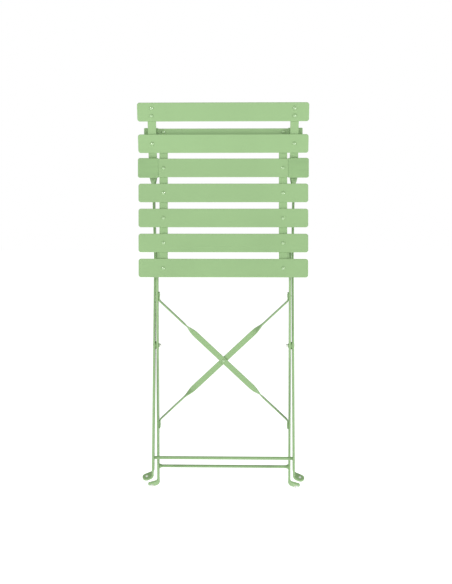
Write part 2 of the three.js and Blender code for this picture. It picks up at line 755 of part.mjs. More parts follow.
function seatRail(side) {
  const low = FRONT_SLAT - RAIL_OVERHANG;
  const high = REAR_BAR_AT + REAR_BAR_WIDTH / 2 - RAIL_SHORTFALL;
  const shape = roundedRectangle(BAR_WIDTH, high - low, RAIL_CORNER);
  const options = { depth: BAR_THICKNESS, bevelEnabled: false, curveSegments: 1 };
  const bar = new THREE.ExtrudeGeometry(shape, options);
  bar.rotateX(Math.PI / 2);
  bar.translate(side * RAIL_X, seatPlane() + GAP + BAR_THICKNESS, (low + high) / 2);
  const holes = [...slatPlaces(), REAR_BAR_AT].map((z) => (
    drill(new THREE.Vector3(side * RAIL_X, seatPlane(), z), Y_AXIS, RIVET_RADIUS + GAP, DRILL_LENGTH)
  ));
  return cut(toGeometry(toSolid(bar).add(toSolid(lugGeometry(side)))), holes);
}

function seatSlats() {
  const names = ["front", "second", "middle", "fourth", "rear"];
  const holes = SIDES.map(([, side]) => [side * RAIL_X, 0]);
  const slats = slatPlaces().map((z, i) => {
    const geometry = slatGeometry(SLAT_LENGTH, SLAT_WIDTH, SLAT_CORNER, holes);
    const mesh = node(`seat_slat_${names[i]}`, geometry, paint());
    mesh.position.set(0, seatPlane(), z);
    return mesh;
  });
  const bar = slatGeometry(REAR_BAR_LENGTH, REAR_BAR_WIDTH, REAR_BAR_CORNER, holes);
  const rear = node("seat_rear_bar", bar, paint());
  rear.position.set(0, seatPlane(), REAR_BAR_AT);
  return [...slats, rear];
}

// A cap pushed over a slat's end, open towards the rail
function sleeveGeometry(side, reach, width, corner) {
  const grow = SLEEVE_WALL + GAP;
  const length = reach + grow - SLEEVE_INNER_X;
  const height = width + 2 * grow;
  const depth = SLAT_THICKNESS + 2 * grow;
  const outer = new THREE.ExtrudeGeometry(
    roundedRectangle(length, height, corner),
    { depth, bevelEnabled: false, curveSegments: 2 },
  );
  outer.rotateX(Math.PI / 2);
  outer.translate(side * (SLEEVE_INNER_X + length / 2), depth, 0);
  const boreLength = reach + GAP - SLEEVE_INNER_X + SLEEVE_OVERRUN;
  const bore = new THREE.BoxGeometry(boreLength, SLAT_THICKNESS + 2 * GAP, width + 2 * GAP);
  bore.translate(side * (SLEEVE_INNER_X - SLEEVE_OVERRUN + boreLength / 2), depth / 2, 0);
  return cut(outer, [bore]).translate(0, seatPlane() - SLAT_THICKNESS - grow, 0);
}

function seatSleeves() {
  const rearSlat = FRONT_SLAT + (SEAT_SLATS - 1) * SLAT_PITCH;
  const kinds = [
    ["slat", SLAT_LENGTH / 2, SLAT_WIDTH, SLAT_SLEEVE_CORNER, rearSlat],
    ["bar", REAR_BAR_LENGTH / 2, REAR_BAR_WIDTH, BAR_SLEEVE_CORNER, REAR_BAR_AT],
  ];
  return SIDES.flatMap(([label, side]) => kinds.map(([kind, reach, width, corner, z]) => {
    const geometry = sleeveGeometry(side, reach, width, corner);
    const mesh = node(`${kind}_sleeve_${label}`, geometry, sleevePlastic());
    mesh.position.z = z;
    return mesh;
  }));
}

function seatRivets() {
  const grip = SLAT_THICKNESS + GAP + BAR_THICKNESS;
  const start = seatPlane() - SLAT_THICKNESS;
  return SIDES.flatMap(([label, side]) => [...slatPlaces(), REAR_BAR_AT].map((z, i) => {
    const geometry = rivetGeometry(RIVET_RADIUS, RIVET_HEAD_RADIUS, RIVET_HEAD_HEIGHT, grip);
    const mesh = node(`seat_rivet_${label}_${i + 1}`, geometry, paint());
    return aim(mesh, new THREE.Vector3(side * RAIL_X, start, z), Y_AXIS);
  }));
}

function seat() {
  const frame = new THREE.Group();
  frame.position.copy(seatPivot());
  for (const [label, side] of SIDES) frame.add(node(`seat_rail_${label}`, seatRail(side), paint()));
  frame.add(...seatSlats(), ...seatSleeves(), ...seatRivets());
  return frame;
}

// ---- Chair ----------------------------------------------------------------------

// The whole chair stands with the middle of its bounding box's underside at the origin
function standOnOrigin(group) {
  group.updateMatrixWorld(true);
  const box = new THREE.Box3().setFromObject(group, true);
  const middle = box.getCenter(new THREE.Vector3());
  group.position.set(-middle.x, -middle.y, -box.min.z);
}

const chair = new THREE.Group();
chair.add(backFrame(), rearFrame(), seat());
standOnOrigin(chair);

export default chair;
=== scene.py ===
"""A folding bistro chair of powder-coated flat bar: fine meshes and procedural looks for every piece."""
import json
import math

import bpy
from mathutils import Matrix, Vector


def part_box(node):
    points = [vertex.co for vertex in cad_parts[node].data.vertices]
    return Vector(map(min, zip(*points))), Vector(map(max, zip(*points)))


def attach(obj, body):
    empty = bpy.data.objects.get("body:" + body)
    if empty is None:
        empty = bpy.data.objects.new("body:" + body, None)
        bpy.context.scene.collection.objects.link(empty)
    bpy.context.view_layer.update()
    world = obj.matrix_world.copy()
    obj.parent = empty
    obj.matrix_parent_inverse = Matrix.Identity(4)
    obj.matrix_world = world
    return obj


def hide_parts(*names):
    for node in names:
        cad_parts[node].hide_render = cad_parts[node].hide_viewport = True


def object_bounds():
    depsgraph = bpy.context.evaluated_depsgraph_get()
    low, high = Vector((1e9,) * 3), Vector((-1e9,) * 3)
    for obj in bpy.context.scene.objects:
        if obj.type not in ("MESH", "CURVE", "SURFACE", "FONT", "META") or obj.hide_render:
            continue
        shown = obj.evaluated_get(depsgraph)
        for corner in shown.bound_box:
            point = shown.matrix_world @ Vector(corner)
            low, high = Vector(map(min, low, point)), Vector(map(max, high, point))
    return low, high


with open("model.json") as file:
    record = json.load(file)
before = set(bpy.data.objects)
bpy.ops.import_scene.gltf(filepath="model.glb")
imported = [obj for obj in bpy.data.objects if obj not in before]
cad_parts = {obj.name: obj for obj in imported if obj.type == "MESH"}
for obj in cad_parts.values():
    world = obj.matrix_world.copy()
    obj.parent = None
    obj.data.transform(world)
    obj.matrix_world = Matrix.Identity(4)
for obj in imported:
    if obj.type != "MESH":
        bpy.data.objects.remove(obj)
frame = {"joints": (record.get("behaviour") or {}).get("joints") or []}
cad_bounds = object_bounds()

MM = 0.001
X_AXIS = Vector((1, 0, 0))
Y_AXIS = Vector((0, 1, 0))
SIDES = (("left", -1), ("right", 1))

# Stock
BAR_WIDTH = 20 * MM
BAR_THICKNESS = 5 * MM
SLAT_LENGTH = 410 * MM
SLAT_WIDTH = 45 * MM
SLAT_THICKNESS = 3 * MM
SLAT_CORNER = 6 * MM
GAP = 0.3 * MM
BAR_EDGE = 0.9 * MM
END_ROUND = 1 * MM
BACK_SLAT_STANDOFF = GAP * 0.3

# How far touching faces run into each other, and the smallest radii and lengths in use
TOUCH = 0.05 * MM
LEAST_CORNER = 0.05 * MM
LEAST_TURNED_RADIUS = 0.01 * MM
LEAST_ARM = 1 * MM

# Swept bars: steps round a bend, share of the length that directions are averaged over, and share
# of the width left at a half-round tip
CORNER_STEPS = 24
DIRECTION_SPREAD = 0.004
BLUNT_TIP = 0.02

# Weight of large faces in the shading normals
FLAT_FACE_WEIGHT = 80

# Side to side: centre planes of the nested frames
BACK_X = 171 * MM
REAR_X = 163 * MM
RAIL_X = 144.5 * MM

# Leans from the vertical, folded and open
BACK_LEAN_FOLDED = math.radians(5.7)
REAR_LEAN_FOLDED = math.radians(2.9)
BACK_LEAN_OPEN = math.radians(31)
REAR_LEAN_OPEN = math.radians(39.6)
BACK_BEND = math.radians(19.2)

# Along the legs, from the scissor pivot
BACK_LEG = 305.7 * MM
REAR_LEG = 339 * MM
BEND_UP = 222.5 * MM
BACK_STRETCHER_DOWN = 271.5 * MM
REAR_STRETCHER_DOWN = 304.5 * MM
FRONT_STRETCHER_RADIUS = 3.75 * MM
REAR_STRETCHER_RADIUS = 3.5 * MM
FRONT_WELD_LENGTH = 5 * MM
WELD_RADIUS = 6.5 * MM
WELD_LENGTH = 8 * MM
WELD_RUN_OUT = 10 * MM
WELD_FLARE = 1.5
WELD_LUMP = 0.06
WELD_LUMPS_AROUND = 5
WELD_LUMPS_ALONG = 900

# Back rest, along the bar from its bend
BEND_REACH = 30 * MM
BEND_MARGIN = 4 * MM
TWIST_FROM = 160 * MM
TWIST_TO = 219 * MM
LOWER_SLAT_UP = 281.3 * MM
UPPER_SLAT_UP = 357.3 * MM
BACK_BAR_END = 373 * MM
UPPER_RIVET_OFFSET = 9 * MM

# Foot tabs and glides
FOLD_RADIUS = 6 * MM
FRONT_TAB = 31.5 * MM
FRONT_FOLD_BEFORE = 19 * MM
FRONT_FOLD_AFTER = 9 * MM
REAR_TAB = 37 * MM
REAR_FOLD_BEFORE = 22 * MM
REAR_FOLD_AFTER = 11 * MM
GLIDE_FROM_END = 10.5 * MM
GLIDE_RADIUS = 5 * MM
GLIDE_HEIGHT = 5.5 * MM
GLIDE_PIN_RADIUS = 2.2 * MM
GLIDE_FLAT = 0.3
GLIDE_STEPS = 10
GLIDE_COLLAR = 0.8 * MM
GLIDE_BUTTON_FLARE = 0.9 * MM
GLIDE_BUTTON_HEIGHT = 1.2 * MM

# Brace
STRAP_WIDTH = 14 * MM
STRAP_THICKNESS = 3 * MM
STRAP_TOP_UP = 132 * MM
STRAP_BOTTOM_DOWN = 207.5 * MM
STRAP_TAB = 20.5 * MM
STRAP_CORNER = 5 * MM
STRAP_EDGE = 0.7 * MM
STRAP_TIP = 1.2 * MM
STRAP_TIP_STATIONS = [0, 0.2 * MM, 0.5 * MM, 0.85 * MM]
STRAP_TIP_NARROWING = 0.1
STRAP_BEND_REACH = 7 * MM
STRAP_RIVET_INSET = 2 * MM
STRAP_TWIST_FROM = 86 * MM
STRAP_TWIST_TO = 136 * MM
STRAP_BOW_FROM = 60 * MM
STRAP_BOW_TO = 190 * MM

# Seat, along it from the seat pivot
SLAT_PITCH = 60.5 * MM
FRONT_SLAT = -39 * MM
REAR_BAR_AT = 289.5 * MM
REAR_BAR_LENGTH = 380 * MM
REAR_BAR_WIDTH = 17 * MM
REAR_BAR_CORNER = 2.5 * MM
LUG_RADIUS = 13 * MM
LUG_THICKNESS = 5.5 * MM
LUG_TOP = 34 * MM
LUG_BOTTOM = -24 * MM
LUG_WRAP = 0.62
LUG_STEPS = 24
LUG_EDGE = 0.6 * MM
LUG_BITE = 1 * MM
RAIL_CORNER = 5 * MM
RAIL_OVERHANG = 15 * MM
RAIL_SHORTFALL = 1 * MM
SLEEVE_WALL = 1 * MM
SLEEVE_INNER_X = 157 * MM
SLEEVE_EDGE = 1.3 * MM
SLEEVE_LIP = 2.2 * MM
SLEEVE_LIP_RAISE = 0.25 * MM
SLEEVE_LIP_MARGIN = 0.2 * MM
SLEEVE_MOUTH_CORNER = 0.8 * MM
SLAT_SLEEVE_CORNER = 5 * MM
BAR_SLEEVE_CORNER = 2 * MM

# Rivets
RIVET_RADIUS = 2 * MM
RIVET_HEAD_RADIUS = 4.5 * MM
RIVET_HEAD_HEIGHT = 2.8 * MM
LOW_HEAD_HEIGHT = 1.2 * MM
HEAD_RIM = 0.25 * MM
SCISSOR_RADIUS = 4 * MM
SCISSOR_HEAD_RADIUS = 6.5 * MM
SCISSOR_HEAD_HEIGHT = 1.8 * MM
SCISSOR_WASHER_RADIUS = 5 * MM
SCISSOR_WASHER = 1.8 * MM
SCISSOR_TAIL_RADIUS = 3.4 * MM
SCISSOR_TAIL = 6.4 * MM
SPACER_RADIUS = 9 * MM
SPACER_CLEARANCE = 0.1 * MM
RING_EDGE = 0.35 * MM
SEAT_PIN_RADIUS = 3.5 * MM
SEAT_PIN_HEAD_RADIUS = 5.5 * MM
SEAT_PIN_HEAD_HEIGHT = 2 * MM
SEAT_PIN_BITE = 0.5 * MM

# Studio, in metres, watts and degrees, with the lens and the sensor in millimetres
SOFT_BOX_AT = (2.4, -1.5, 1.1)
SOFT_BOX_SIZE = (0.45, 0.45)
SOFT_BOX_WATTS = 23.5
PANEL_AT = (0, -3.4, 1.4)
PANEL_SIZE = (2.4, 1.6)
PANEL_WATTS = 13
SURROUND_LIGHTING = 0.44
SURROUND_SEEN = 1.0
FLOOR_HALF = 12
FLOOR_GLOW = 0.7
CAMERA_AT = (0.046, -1.912, 0.690)
CAMERA_DOWN = 0.27
CAMERA_LEFT = 1.19
CAMERA_LENS = 48.2
CAMERA_SENSOR = 36
CAMERA_SHIFT = -0.13

JOINT = {joint["name"]: Vector(joint["pos_m"]) for joint in frame["joints"]}
SCISSOR = JOINT["leg_fold"]
SEAT_PIVOT = JOINT["seat_fold"]
BACK = Matrix.Translation(SCISSOR) @ Matrix.Rotation(-BACK_LEAN_FOLDED, 4, "X")
REAR = Matrix.Translation(SCISSOR) @ Matrix.Rotation(REAR_LEAN_FOLDED, 4, "X")
SEAT = Matrix.Translation(SEAT_PIVOT)
BACK_REST = BACK @ Matrix.Translation((0, 0, BEND_UP)) @ Matrix.Rotation(BACK_BEND, 4, "X")
SLAT_BACK_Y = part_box("seat_slat_middle")[1][1] - SEAT_PIVOT.y


# ---- Mesh helpers ------------------------------------------------------------

def make_object(name, vertices, faces, place, body, nodes, material):
    """A smooth-shaded piece with flat faces kept flat, riding its body and standing for its CAD nodes."""
    mesh = bpy.data.meshes.new(name)
    mesh.from_pydata([tuple(place @ Vector(v)) for v in vertices], [], faces)
    mesh.validate()
    mesh.polygons.foreach_set("use_smooth", [True] * len(mesh.polygons))
    mesh.materials.append(material)
    piece = bpy.data.objects.new(name, mesh)
    bpy.context.collection.objects.link(piece)
    normals = piece.modifiers.new("flat faces", "WEIGHTED_NORMAL")
    normals.weight = FLAT_FACE_WEIGHT
    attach(piece, body)
    if nodes:
        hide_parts(*nodes)


def ring_faces(rings, count):
    """Quads between consecutive rings of count points, with a cap on each end."""
    faces = []
    for ring in range(rings - 1):
        for i in range(count):
            j = (i + 1) % count
            a = ring * count
            b = a + count
            faces.append((a + i, a + j, b + j, b + i))
    faces.append(tuple(reversed(range(count))))
    faces.append(tuple(range((rings - 1) * count, rings * count)))
    return faces


def rounded_section(width, thickness, radius, steps=4):
    """A flat bar's section with rolled edges: points (across, through), counter-clockwise."""
    x = width / 2 - radius
    y = thickness / 2 - radius
    points = []
    for cx, cy, start in ((x, -y, -90), (x, y, 0), (-x, y, 90), (-x, -y, 180)):
        for i in range(steps + 1):
            angle = math.radians(start + 90 * i / steps)
            points.append((cx + radius * math.cos(angle), cy + radius * math.sin(angle)))
    return points


def spaced(start, stop, count):
    return [start + (stop - start) * i / count for i in range(count)]


def smoothstep(value, low, high):
    t = min(max((value - low) / (high - low), 0), 1)
    return t * t * (3 - 2 * t)


class Path:
    """Straight runs joined by round corners in one plane, measured by arc length."""

    def __init__(self, corners, reaches):
        self.points = [corners[0]]
        for before, corner, after, reach in zip(corners, corners[1:], corners[2:], reaches):
            into = (corner - before).normalized()
            out = (after - corner).normalized()
            start = corner - into * reach
            end = corner + out * reach
            for i in range(CORNER_STEPS + 1):
                t = i / CORNER_STEPS
                self.points.append(start * (1 - t) ** 2 + corner * 2 * t * (1 - t) + end * t ** 2)
        self.points.append(corners[-1])
        self.lengths = [0]
        for a, b in zip(self.points, self.points[1:]):
            self.lengths.append(self.lengths[-1] + (b - a).length)
        self.length = self.lengths[-1]

    def at(self, s):
        """Point and direction at a distance along the path."""
        s = min(max(s, 0), self.length)
        for i in range(len(self.points) - 1):
            if s <= self.lengths[i + 1] or i == len(self.points) - 2:
                a, b = self.points[i], self.points[i + 1]
                return a + (b - a) * ((s - self.lengths[i]) / (b - a).length), (b - a).normalized()


def sweep(path, normal, section, stations, twist, width_scale):
    """Rings of the section along the path, thinned towards both tips.

    The section starts across the path in its plane; twist turns it.
    """
    vertices = []
    for s in stations:
        point, along = path.at(s)
        spread = path.length * DIRECTION_SPREAD
        _, before = path.at(s - spread)
        _, after = path.at(s + spread)
        along = (before + along + after).normalized()
        across = Matrix.Rotation(twist(s), 3, along) @ normal.cross(along)
        through = along.cross(across)
        scale = width_scale(s)
        shrink = 1.0
        if s < END_ROUND or s > path.length - END_ROUND:
            inward = min(s, path.length - s) / END_ROUND
            shrink = 1 - (END_ROUND / (BAR_THICKNESS / 2)) * (1 - math.sqrt(1 - (1 - inward) ** 2))
        for x, y in section:
            vertices.append(point + across * (x * scale) + through * (y * shrink))
    return vertices


def round_end(s, width):
    """Share of the full width at a distance from a half-round tip."""
    radius = width / 2
    inward = min(max(s, 0), radius)
    return math.sqrt(radius ** 2 - (radius - inward) ** 2) / radius


# ---- Folded feet -------------------------------------------------------------

class Fold:
    """The bar's end, turned 90 degrees outwards about a line that is level when the chair stands open."""

    def __init__(self, x, side, lean, down):
        self.line = Vector((0, math.cos(lean), math.sin(lean)))
        self.below = Vector((0, math.sin(lean), -math.cos(lean)))
        self.out = Vector((side, 0, 0))
        self.start = Vector((side * x, 0, -down))

    def apply(self, point):
        local = point - self.start
        low = local.dot(self.below)
        if low <= 0:
            return point
        angle = min(low / FOLD_RADIUS, math.pi / 2)
        flat = max(low - math.pi / 2 * FOLD_RADIUS, 0)
        radius = FOLD_RADIUS - local.dot(self.out)
        return (self.start + self.line * local.dot(self.line) + self.below * (radius * math.sin(angle))
                + self.out * (FOLD_RADIUS - radius * math.cos(angle) + flat))

    def glide(self, tab):
        return self.apply(self.start + Vector((0, 0, GLIDE_FROM_END - tab)))


# ---- Looks -------------------------------------------------------------------

# The mix node's colour sockets, which share their names with its other kinds
MIX_FACTOR = 0
MIX_A = 6
MIX_B = 7
MIX_RESULT = 2


def new_material(name):
    material = bpy.data.materials.new(name)
    material.use_nodes = True
    nodes = material.node_tree.nodes
    return material, nodes, material.node_tree.links, nodes["Principled BSDF"]


def noise(nodes, links, scale, detail, roughness=0.5, stretch=None):
    """A noise texture in the row frame, optionally stretched along an axis."""
    place = nodes.new("ShaderNodeTexCoord")
    texture = nodes.new("ShaderNodeTexNoise")
    texture.inputs["Scale"].default_value = scale
    texture.inputs["Detail"].default_value = detail
    texture.inputs["Roughness"].default_value = roughness
    source = place.outputs["Object"]
    if stretch:
        mapping = nodes.new("ShaderNodeMapping")
        mapping.inputs["Scale"].default_value = stretch
        links.new(source, mapping.inputs["Vector"])
        source = mapping.outputs["Vector"]
    links.new(source, texture.inputs["Vector"])
    return texture.outputs["Fac"]


def ramp(nodes, links, source, stops):
    node = nodes.new("ShaderNodeValToRGB")
    elements = node.color_ramp.elements
    while len(elements) < len(stops):
        elements.new(0.5)
    for element, (position, colour) in zip(elements, stops):
        element.position = position
        element.color = (*colour, 1)
    links.new(source, node.inputs["Fac"])
    return node.outputs["Color"]


def remap(nodes, links, source, low, high, to_low, to_high):
    node = nodes.new("ShaderNodeMapRange")
    node.inputs["From Min"].default_value = low
    node.inputs["From Max"].default_value = high
    node.inputs["To Min"].default_value = to_low
    node.inputs["To Max"].default_value = to_high
    links.new(source, node.inputs["Value"])
    return node.outputs["Result"]


def mix(nodes, links, share, a, b, blend="MIX"):
    """Mixes two colours; each value may be a socket."""
    node = nodes.new("ShaderNodeMix")
    node.data_type = "RGBA"
    node.blend_type = blend
    for index, value in ((MIX_FACTOR, share), (MIX_A, a), (MIX_B, b)):
        socket = node.inputs[index]
        if isinstance(value, bpy.types.NodeSocket):
            links.new(value, socket)
        else:
            socket.default_value = value if isinstance(value, float) else (*value, 1)
    return node.outputs[MIX_RESULT]


def bump(nodes, links, layers):
    """Stacks bumps, coarse to fine: (height, strength, distance in metres)."""
    normal = None
    for height, strength, distance in layers:
        node = nodes.new("ShaderNodeBump")
        node.inputs["Strength"].default_value = strength
        node.inputs["Distance"].default_value = distance
        links.new(height, node.inputs["Height"])
        if normal:
            links.new(normal, node.inputs["Normal"])
        normal = node.outputs["Normal"]
    return normal


def tint(colour, factor):
    return tuple(channel * factor for channel in colour)


PAINT_GREEN = (0.270, 0.428, 0.198)
SLEEVE_GREEN = (0.240, 0.396, 0.174)


def powder_coat(name, colour, rough=(0.36, 0.46), coat=0.12, coat_ior=1.5):
    """Satin powder coat: drifting colour, orange peel, fine pigment, a painted highlight on its edges and
    painted shade in its hollows.
    """
    material, nodes, links, shader = new_material(name)
    drift = noise(nodes, links, 7, 3)
    cloud = ramp(nodes, links, drift, ((0.3, tint(colour, 0.965)), (0.7, tint(colour, 1.035))))
    speck = noise(nodes, links, 2600, 2, 0.7)
    speckle = ramp(nodes, links, speck, ((0.36, (0.93, 0.93, 0.93)), (0.6, (1.02, 1.02, 1.02))))
    body = mix(nodes, links, 0.5, cloud, speckle, "MULTIPLY")
    geometry = nodes.new("ShaderNodeNewGeometry")
    # Painted highlight: the colour is lightened where the surface turns sharply outwards, at the edges.
    edge = remap(nodes, links, geometry.outputs["Pointiness"], 0.515, 0.60, 0.0, 0.34)
    # Painted shade: the colour is darkened towards 0.55 of the paint in creases and hollows.
    hollow_shade = remap(nodes, links, geometry.outputs["Pointiness"], 0.44, 0.49, 0.3, 0.0)
    edge_highlighted = mix(nodes, links, edge, body, tint(colour, 1.32))
    # Painted shade in the hollows, laid over the painted edge highlight.
    highlighted_and_shaded = mix(nodes, links, hollow_shade, edge_highlighted, tint(colour, 0.55))
    links.new(highlighted_and_shaded, shader.inputs["Base Color"])
    patch = noise(nodes, links, 38, 4)
    links.new(remap(nodes, links, patch, 0.3, 0.7, *rough), shader.inputs["Roughness"])
    peel = noise(nodes, links, 620, 2)
    grit = noise(nodes, links, 2600, 2, 0.7)
    wave = noise(nodes, links, 55, 2)
    layers = ((wave, 0.05, 0.0008), (peel, 0.22, 0.0002), (grit, 0.10, 0.00008))
    links.new(bump(nodes, links, layers), shader.inputs["Normal"])
    shader.inputs["Specular IOR Level"].default_value = 0.35
    shader.inputs["Coat Weight"].default_value = coat
    shader.inputs["Coat Roughness"].default_value = 0.1
    shader.inputs["Coat IOR"].default_value = coat_ior
    return material


def moulded_plastic(name, colour):
    """Moulded cap: spark-eroded grain, faint flow marks and a painted highlight that lightens its edges."""
    material, nodes, links, shader = new_material(name)
    flow = noise(nodes, links, 30, 3, 0.5, (0.4, 1, 2.5))
    cloud = ramp(nodes, links, flow, ((0.3, tint(colour, 0.95)), (0.7, tint(colour, 1.04))))
    geometry = nodes.new("ShaderNodeNewGeometry")
    # Painted highlight: the colour is lightened at the cap's sharp edges.
    edge = remap(nodes, links, geometry.outputs["Pointiness"], 0.51, 0.58, 0.0, 0.4)
    links.new(mix(nodes, links, edge, cloud, tint(colour, 1.3)), shader.inputs["Base Color"])
    grain = noise(nodes, links, 1500, 3, 0.6)
    links.new(remap(nodes, links, grain, 0.3, 0.7, 0.42, 0.58), shader.inputs["Roughness"])
    links.new(bump(nodes, links, ((flow, 0.05, 0.0005), (grain, 0.3, 0.0001))), shader.inputs["Normal"])
    shader.inputs["Subsurface Weight"].default_value = 0.05
    shader.inputs["Subsurface Radius"].default_value = (0.002, 0.003, 0.0015)
    return material


def glide_plastic():
    """Milky nylon glide, scuffed underneath where it meets the floor."""
    material, nodes, links, shader = new_material("glide_nylon")
    scuff = noise(nodes, links, 700, 4, 0.7, (1, 3, 1))
    cloud = noise(nodes, links, 90, 2)
    base = ramp(nodes, links, cloud, ((0.3, (0.80, 0.84, 0.77)), (0.7, (0.90, 0.92, 0.87))))
    marks = remap(nodes, links, scuff, 0.58, 0.7, 0.0, 0.35)
    links.new(mix(nodes, links, marks, base, (0.62, 0.63, 0.58)), shader.inputs["Base Color"])
    links.new(remap(nodes, links, scuff, 0.4, 0.7, 0.28, 0.5), shader.inputs["Roughness"])
    links.new(bump(nodes, links, ((scuff, 0.25, 0.0001),)), shader.inputs["Normal"])
    shader.inputs["Subsurface Weight"].default_value = 0.4
    shader.inputs["Subsurface Radius"].default_value = (0.004, 0.004, 0.003)
    shader.inputs["Transmission Weight"].default_value = 0.15
    return material


def zinc_steel():
    """Zinc-plated rivet: fine turning marks, dulled patches and painted shade darkening its recesses."""
    material, nodes, links, shader = new_material("pivot_zinc")
    marks = noise(nodes, links, 900, 3, 0.6, (0.15, 1, 1))
    patch = noise(nodes, links, 160, 4)
    base = ramp(nodes, links, patch, ((0.3, (0.74, 0.74, 0.71)), (0.7, (0.86, 0.86, 0.83))))
    geometry = nodes.new("ShaderNodeNewGeometry")
    # Painted shade: the colour is darkened nearly to black in the recesses.
    recess_shade = remap(nodes, links, geometry.outputs["Pointiness"], 0.42, 0.49, 0.6, 0.0)
    links.new(mix(nodes, links, recess_shade, base, (0.16, 0.17, 0.15)), shader.inputs["Base Color"])
    links.new(remap(nodes, links, patch, 0.3, 0.7, 0.28, 0.46), shader.inputs["Roughness"])
    links.new(bump(nodes, links, ((patch, 0.1, 0.0002), (marks, 0.2, 0.00005))), shader.inputs["Normal"])
    shader.inputs["Metallic"].default_value = 0.75
    return material


PAINT = powder_coat("powder_coat_green", PAINT_GREEN)
RIVET_PAINT = powder_coat("rivet_paint_green", tint(PAINT_GREEN, 1.12), (0.12, 0.2), 1.0, 1.9)
SLEEVE = moulded_plastic("sleeve_plastic", SLEEVE_GREEN)
GLIDE = glide_plastic()
ZINC = zinc_steel()


# ---- Bars --------------------------------------------------------------------

def end_stations():
    """Close steps over the first stretch of a bar, for its rounded tip."""
    shares = (0.0, 0.015, 0.04, 0.08, 0.14, 0.22, 0.34, 0.48, 0.64, 0.82)
    return [BAR_WIDTH / 2 * share for share in shares]


def stretches(marks):
    """Even steps from each mark up to the next: marks are (distance, steps to the next mark)."""
    stations = []
    for (start, count), (stop, _) in zip(marks, marks[1:]):
        stations += spaced(start, stop, count)
    return stations


def back_bar(label, side):
    up = Vector((0, -math.sin(BACK_BEND), math.cos(BACK_BEND)))
    corner = Vector((0, 0, BEND_UP))
    corners = [Vector((0, 0, -BACK_LEG - FRONT_TAB)), corner, corner + up * BACK_BAR_END]
    path = Path(corners, [BEND_REACH])
    bend = BACK_LEG + FRONT_TAB + BEND_UP
    start, stop = bend + TWIST_FROM, bend + TWIST_TO
    stations = end_stations()
    marks = (
        (BAR_WIDTH / 2, 3),
        (FRONT_TAB - FRONT_FOLD_BEFORE, 34),
        (FRONT_TAB + FRONT_FOLD_AFTER, 6),
        (bend - BEND_REACH - BEND_MARGIN, 24),
        (bend + BEND_REACH + BEND_MARGIN, 3),
        (start, 40),
        (stop, 4),
        (path.length - END_ROUND, 0),
    )
    stations += stretches(marks)
    stations += [path.length - END_ROUND * share for share in (1, 0.6, 0.3, 0.1, 0)]
    section = rounded_section(BAR_WIDTH, BAR_THICKNESS, BAR_EDGE)
    vertices = sweep(
        path, X_AXIS, section, stations,
        twist=lambda s: -side * math.pi / 2 * smoothstep(s, start, stop),
        width_scale=lambda s: max(round_end(s, BAR_WIDTH), BLUNT_TIP),
    )
    fold = Fold(BACK_X, side, BACK_LEAN_OPEN, BACK_LEG)
    vertices = [fold.apply(v + Vector((side * BACK_X, 0, 0))) for v in vertices]
    faces = ring_faces(len(stations), len(section))
    make_object(f"back_bar_{label}_painted", vertices, faces, BACK, "back_frame",
                [f"back_bar_{label}"], PAINT)
    return fold


def rear_leg(label, side):
    reach = (SEAT_PIVOT - SCISSOR).length + BAR_WIDTH / 2
    path = Path([Vector((0, 0, -REAR_LEG - REAR_TAB)), Vector((0, 0, reach))], [])
    stations = end_stations()
    marks = (
        (BAR_WIDTH / 2, 2),
        (REAR_TAB - REAR_FOLD_BEFORE, 38),
        (REAR_TAB + REAR_FOLD_AFTER, 8),
        (path.length - BAR_WIDTH / 2, 0),
    )
    stations += stretches(marks)
    stations += [path.length - s for s in reversed(end_stations() + [BAR_WIDTH / 2])]
    section = rounded_section(BAR_WIDTH, BAR_THICKNESS, BAR_EDGE)
    vertices = sweep(
        path, X_AXIS, section, stations,
        twist=lambda s: 0,
        width_scale=lambda s: max(round_end(min(s, path.length - s), BAR_WIDTH), BLUNT_TIP),
    )
    fold = Fold(REAR_X, side, -REAR_LEAN_OPEN, REAR_LEG)
    vertices = [fold.apply(v + Vector((side * REAR_X, 0, 0))) for v in vertices]
    faces = ring_faces(len(stations), len(section))
    make_object(f"rear_leg_{label}_painted", vertices, faces, REAR, "rear_legs",
                [f"rear_leg_{label}"], PAINT)
    return fold


def brace_strap(label, rise):
    """Flat strap from one leg's foot to the other's head, edge on at its ends and flat at the crossing."""
    x = REAR_X - BAR_THICKNESS / 2 - GAP - STRAP_THICKNESS / 2
    top = STRAP_TOP_UP - STRAP_TAB
    low = -STRAP_BOTTOM_DOWN + STRAP_TAB
    corners = [Vector((-rise * x, 0, -STRAP_BOTTOM_DOWN)), Vector((-rise * x, 0, low)),
               Vector((rise * x, 0, top)), Vector((rise * x, 0, STRAP_TOP_UP))]
    path = Path(corners, [STRAP_CORNER, STRAP_CORNER])
    middle = path.length / 2
    centre = Vector((0, 0, (STRAP_TOP_UP - STRAP_BOTTOM_DOWN) / 2))
    marks = (
        (STRAP_TIP, 3),
        (STRAP_TAB - STRAP_BEND_REACH, 14),
        (STRAP_TAB + STRAP_BEND_REACH, 3),
        (middle - STRAP_TWIST_TO, 24),
        (middle - STRAP_TWIST_FROM, 6),
        (middle, 0),
    )
    half = STRAP_TIP_STATIONS + stretches(marks)
    stations = half + [middle] + [path.length - s for s in reversed(half)]
    section = rounded_section(STRAP_WIDTH, STRAP_THICKNESS, STRAP_EDGE, 3)
    vertices = sweep(
        path, Y_AXIS, section, stations,
        twist=lambda s: -math.pi / 2 * smoothstep(abs(s - middle), STRAP_TWIST_FROM, STRAP_TWIST_TO),
        width_scale=lambda s: 1 - STRAP_TIP_NARROWING * max(0, 1 - min(s, path.length - s) / STRAP_TIP) ** 2,
    )
    offset = rise * (STRAP_THICKNESS + GAP) / 2
    for v in vertices:
        share = 1 - smoothstep((Vector((v.x, 0, v.z)) - centre).length, STRAP_BOW_FROM, STRAP_BOW_TO)
        v.y += offset * share
    faces = ring_faces(len(stations), len(section))
    make_object(f"brace_strap_{label}_painted", vertices, faces, REAR, "rear_legs",
                [f"brace_strap_{label}"], PAINT)


# ---- Plates ------------------------------------------------------------------

